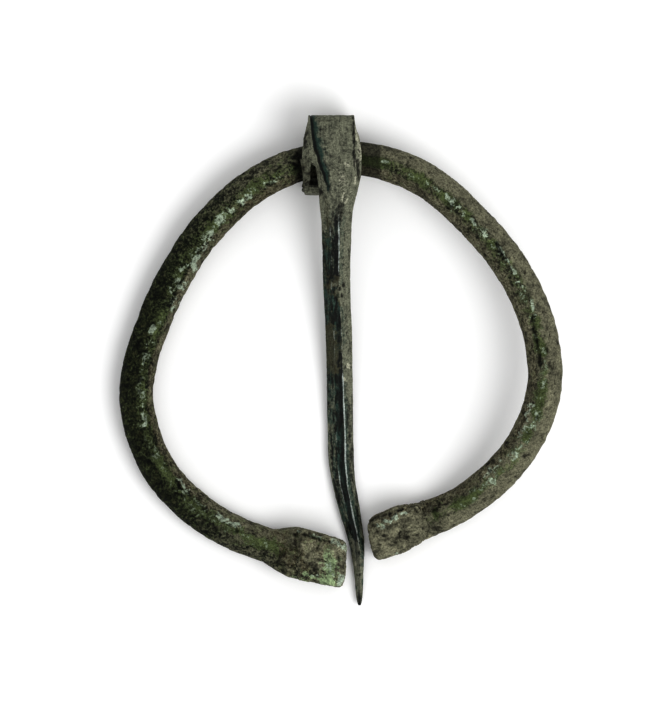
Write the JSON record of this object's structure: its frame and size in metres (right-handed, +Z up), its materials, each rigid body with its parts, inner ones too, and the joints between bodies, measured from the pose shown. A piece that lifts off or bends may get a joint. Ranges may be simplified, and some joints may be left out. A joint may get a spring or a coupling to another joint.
{
  "type": "penannular brooch",
  "caption": "Corroded bronze penannular brooch: an open ring of rod with folded-back terminals and a tapering pin looped round it so that it swivels.",
  "frame": {"origin": "on the table, under the middle of the box round the whole brooch as it lies", "axes": "+Z up off the table, +Y from the gap between the terminals towards the pin's head, +X to the right as seen from above"},
  "size_m": [0.0574, 0.0638, 0.0101],
  "materials": {
    "hoop_bronze": "dull green and brown corrosion crust",
    "pin_bronze": "dark worn patina with a low sheen"
  },
  "bodies": {
    "hoop": {"hoop": "hoop_bronze"},
    "pin": {"pin": "pin_bronze"}
  },
  "joints": [
    {"name": "pin_swivel", "type": "hinge", "parent": "hoop", "child": "pin", "pos_m": [-0.00011, 0.02643, 0.0043], "axis": [1, 0, 0], "continuous": true}
  ]
}
